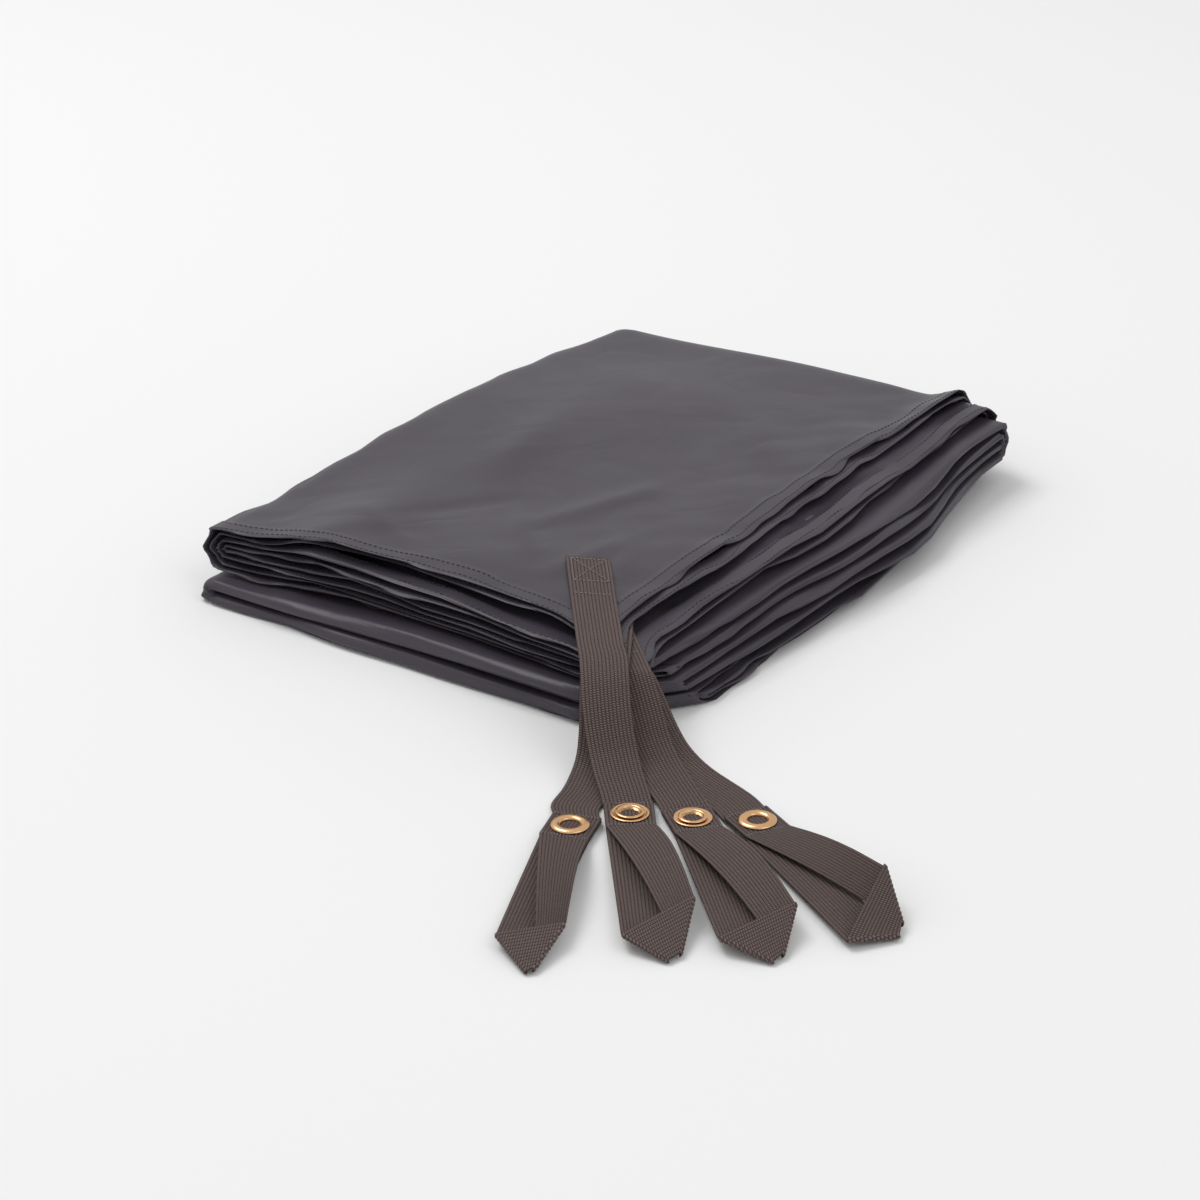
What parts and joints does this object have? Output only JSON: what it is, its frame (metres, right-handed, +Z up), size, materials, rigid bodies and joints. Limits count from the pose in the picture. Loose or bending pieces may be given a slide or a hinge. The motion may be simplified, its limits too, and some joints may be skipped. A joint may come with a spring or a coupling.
{
  "type": "folded tent groundsheet",
  "caption": "Tent groundsheet folded into a flat rectangular pack, with webbing corner straps, each looped past a brass eyelet, gathered at one corner.",
  "frame": {"origin": "on the resting surface, under the middle of the folded pack", "axes": "+Z up, -Y towards the corner with the straps, +X to the right seen from that corner"},
  "size_m": [0.4868, 0.7844, 0.0538],
  "materials": {
    "cloth": "satin woven nylon, dark grey",
    "webbing": "ribbed woven webbing, dark brown grey",
    "brass": "polished warm brass"
  },
  "bodies": {
    "root": {"groundsheet": "cloth", "strap_1": "webbing", "strap_2": "webbing", "strap_3": "webbing", "strap_4": "webbing", "eyelet_1": "brass", "eyelet_2": "brass", "eyelet_3": "brass", "eyelet_4": "brass", "washer_1": "brass", "washer_2": "brass", "washer_3": "brass", "washer_4": "brass"}
  },
  "joints": []
}
